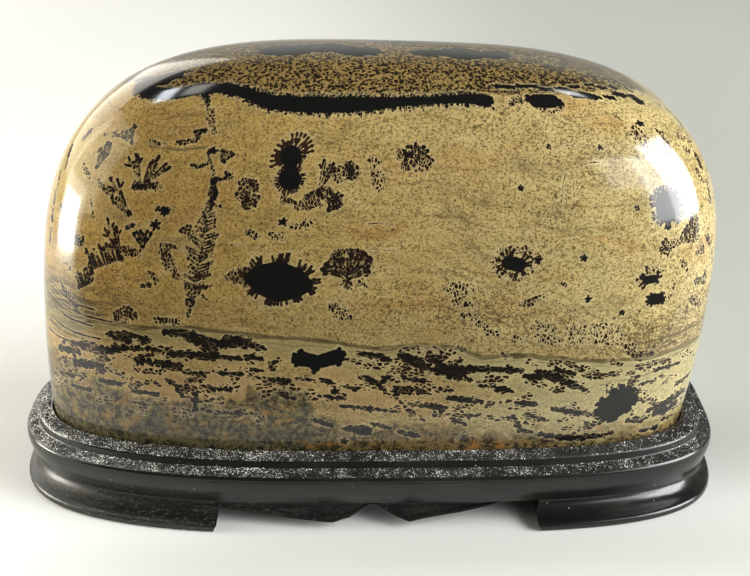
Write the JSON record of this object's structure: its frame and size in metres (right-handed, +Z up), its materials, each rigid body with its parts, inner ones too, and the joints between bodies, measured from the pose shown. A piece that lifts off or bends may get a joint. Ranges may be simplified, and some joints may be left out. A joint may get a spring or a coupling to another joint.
{
  "type": "polished jasper block on a stand",
  "caption": "Upright polished block of dendritic picture jasper with a rounded crown, seated in a low black carved wooden stand.",
  "frame": {"origin": "on the surface that it stands on, under the middle of the stand", "axes": "+X along the stand's length to the viewer's right, -Y towards the viewer, +Z up"},
  "size_m": [0.2312, 0.1088, 0.1426],
  "materials": {
    "polished_jasper": "high polish, golden tan with black and brown dendrites",
    "black_lacquered_wood": "black lacquer, glossy with two stippled satin bands"
  },
  "bodies": {
    "root": {"jasper_stone": "polished_jasper", "stand": "black_lacquered_wood"}
  },
  "joints": []
}
